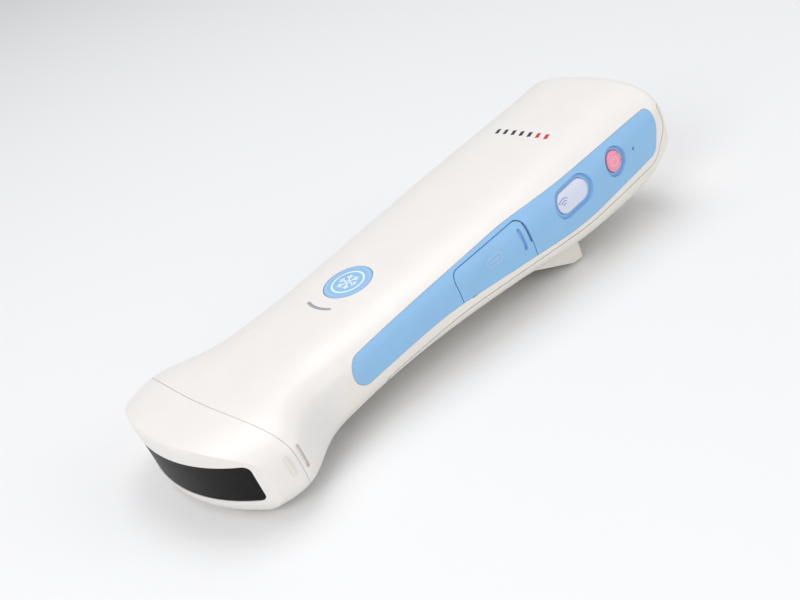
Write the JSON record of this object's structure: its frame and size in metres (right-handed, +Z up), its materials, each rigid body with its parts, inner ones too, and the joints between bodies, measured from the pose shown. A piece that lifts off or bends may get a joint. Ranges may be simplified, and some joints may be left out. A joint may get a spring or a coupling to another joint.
{
  "type": "wireless ultrasound scanner",
  "caption": "Wireless hand-held ultrasound scanner with a wide curved lens head, a slide-off battery pack, side buttons, a freeze button and a hinged port cover.",
  "frame": {"origin": "on the surface that the scanner lies on, under the middle of its box", "axes": "+X along the body from the head to the tail, +Z up out of the front face, button side facing -Y"},
  "size_m": [0.2214, 0.0794, 0.0485],
  "materials": {
    "backing_epoxy": "filled epoxy",
    "board_green": "solder mask",
    "bright_steel": "plated",
    "casing_cream": "satin moulded ABS",
    "casing_rib": "satin moulded ABS",
    "casing_white": "satin moulded ABS",
    "cell_foil": "laminate pouch",
    "ceramic": "diced ceramic",
    "chip_black": "moulded package",
    "contact_gold": "plated",
    "flex_amber": "polyimide film",
    "heat_metal": "rolled",
    "inner_plastic": "moulded",
    "lens_black": "smooth silicone",
    "marker_grey": "printed mark",
    "mode_lilac": "silicone keycap",
    "panel_blue": "soft satin moulding",
    "power_pink": "silicone keycap",
    "seal_rubber": "soft",
    "status_clear": "light pipe"
  },
  "bodies": {
    "casing": {"acoustic_lens": "lens_black", "antenna_board": "board_green", "arc_mark": "marker_grey", "array_flex_lower": "flex_amber", "array_flex_upper": "flex_amber", "array_holder": "inner_plastic", "backing_block": "backing_epoxy", "beamformer_chip_1": "chip_black", "beamformer_chip_2": "chip_black", "beamformer_chip_3": "chip_black", "beamformer_chip_4": "chip_black", "board_screw_1": "bright_steel", "board_screw_2": "bright_steel", "board_screw_3": "bright_steel", "board_screw_4": "bright_steel", "button_board": "board_green", "chassis_tray": "inner_plastic", "contact_block": "inner_plastic", "contact_pin_1": "contact_gold", "contact_pin_2": "contact_gold", "contact_pin_3": "contact_gold", "contact_pin_4": "contact_gold", "freeze_board": "board_green", "freeze_switch": "bright_steel", "front_shell": "casing_white", "head_gasket": "seal_rubber", "head_shell": "casing_white", "heat_spreader": "heat_metal", "main_board": "board_green", "marker_rib": "casing_rib", "matching_layer": "ceramic", "mode_switch": "chip_black", "neck_screw_1": "bright_steel", "neck_screw_2": "bright_steel", "piezo_array": "ceramic", "port_socket": "bright_steel", "port_tongue": "chip_black", "power_switch": "chip_black", "processor_chip": "chip_black", "rear_frame": "casing_cream", "shield_can": "bright_steel", "side_panel_left": "panel_blue", "side_panel_right": "panel_blue", "status_light": "status_clear"},
    "pack": {"pack_housing": "casing_cream", "pack_lid": "inner_plastic", "battery_cell_1": "cell_foil", "battery_cell_2": "cell_foil", "protection_board": "board_green"},
    "power_cap": {"power_button": "power_pink"},
    "mode_cap": {"mode_button": "mode_lilac"},
    "freeze_cap": {"freeze_button": "panel_blue"},
    "cover": {"port_cover": "panel_blue"}
  },
  "joints": [
    {"name": "pack_slide", "type": "slide", "parent": "casing", "child": "pack", "axis": [1, 0, 0], "range_m": [0, 0.185]},
    {"name": "power_press", "type": "slide", "parent": "casing", "child": "power_cap", "axis": [0, 1, 0], "range_m": [0, 0.0008], "stiffness_N_per_m": 1500},
    {"name": "mode_press", "type": "slide", "parent": "casing", "child": "mode_cap", "axis": [0, 1, 0], "range_m": [0, 0.0008], "stiffness_N_per_m": 1500},
    {"name": "freeze_press", "type": "slide", "parent": "casing", "child": "freeze_cap", "axis": [0.1278, 0, -0.9918], "range_m": [0, 0.0006], "stiffness_N_per_m": 1500},
    {"name": "cover_swing", "type": "hinge", "parent": "casing", "child": "cover", "pos_m": [-0.00696, -0.03003, 0.02449], "axis": [0.1278, 0, -0.9918], "range_deg": [0, 110]}
  ]
}
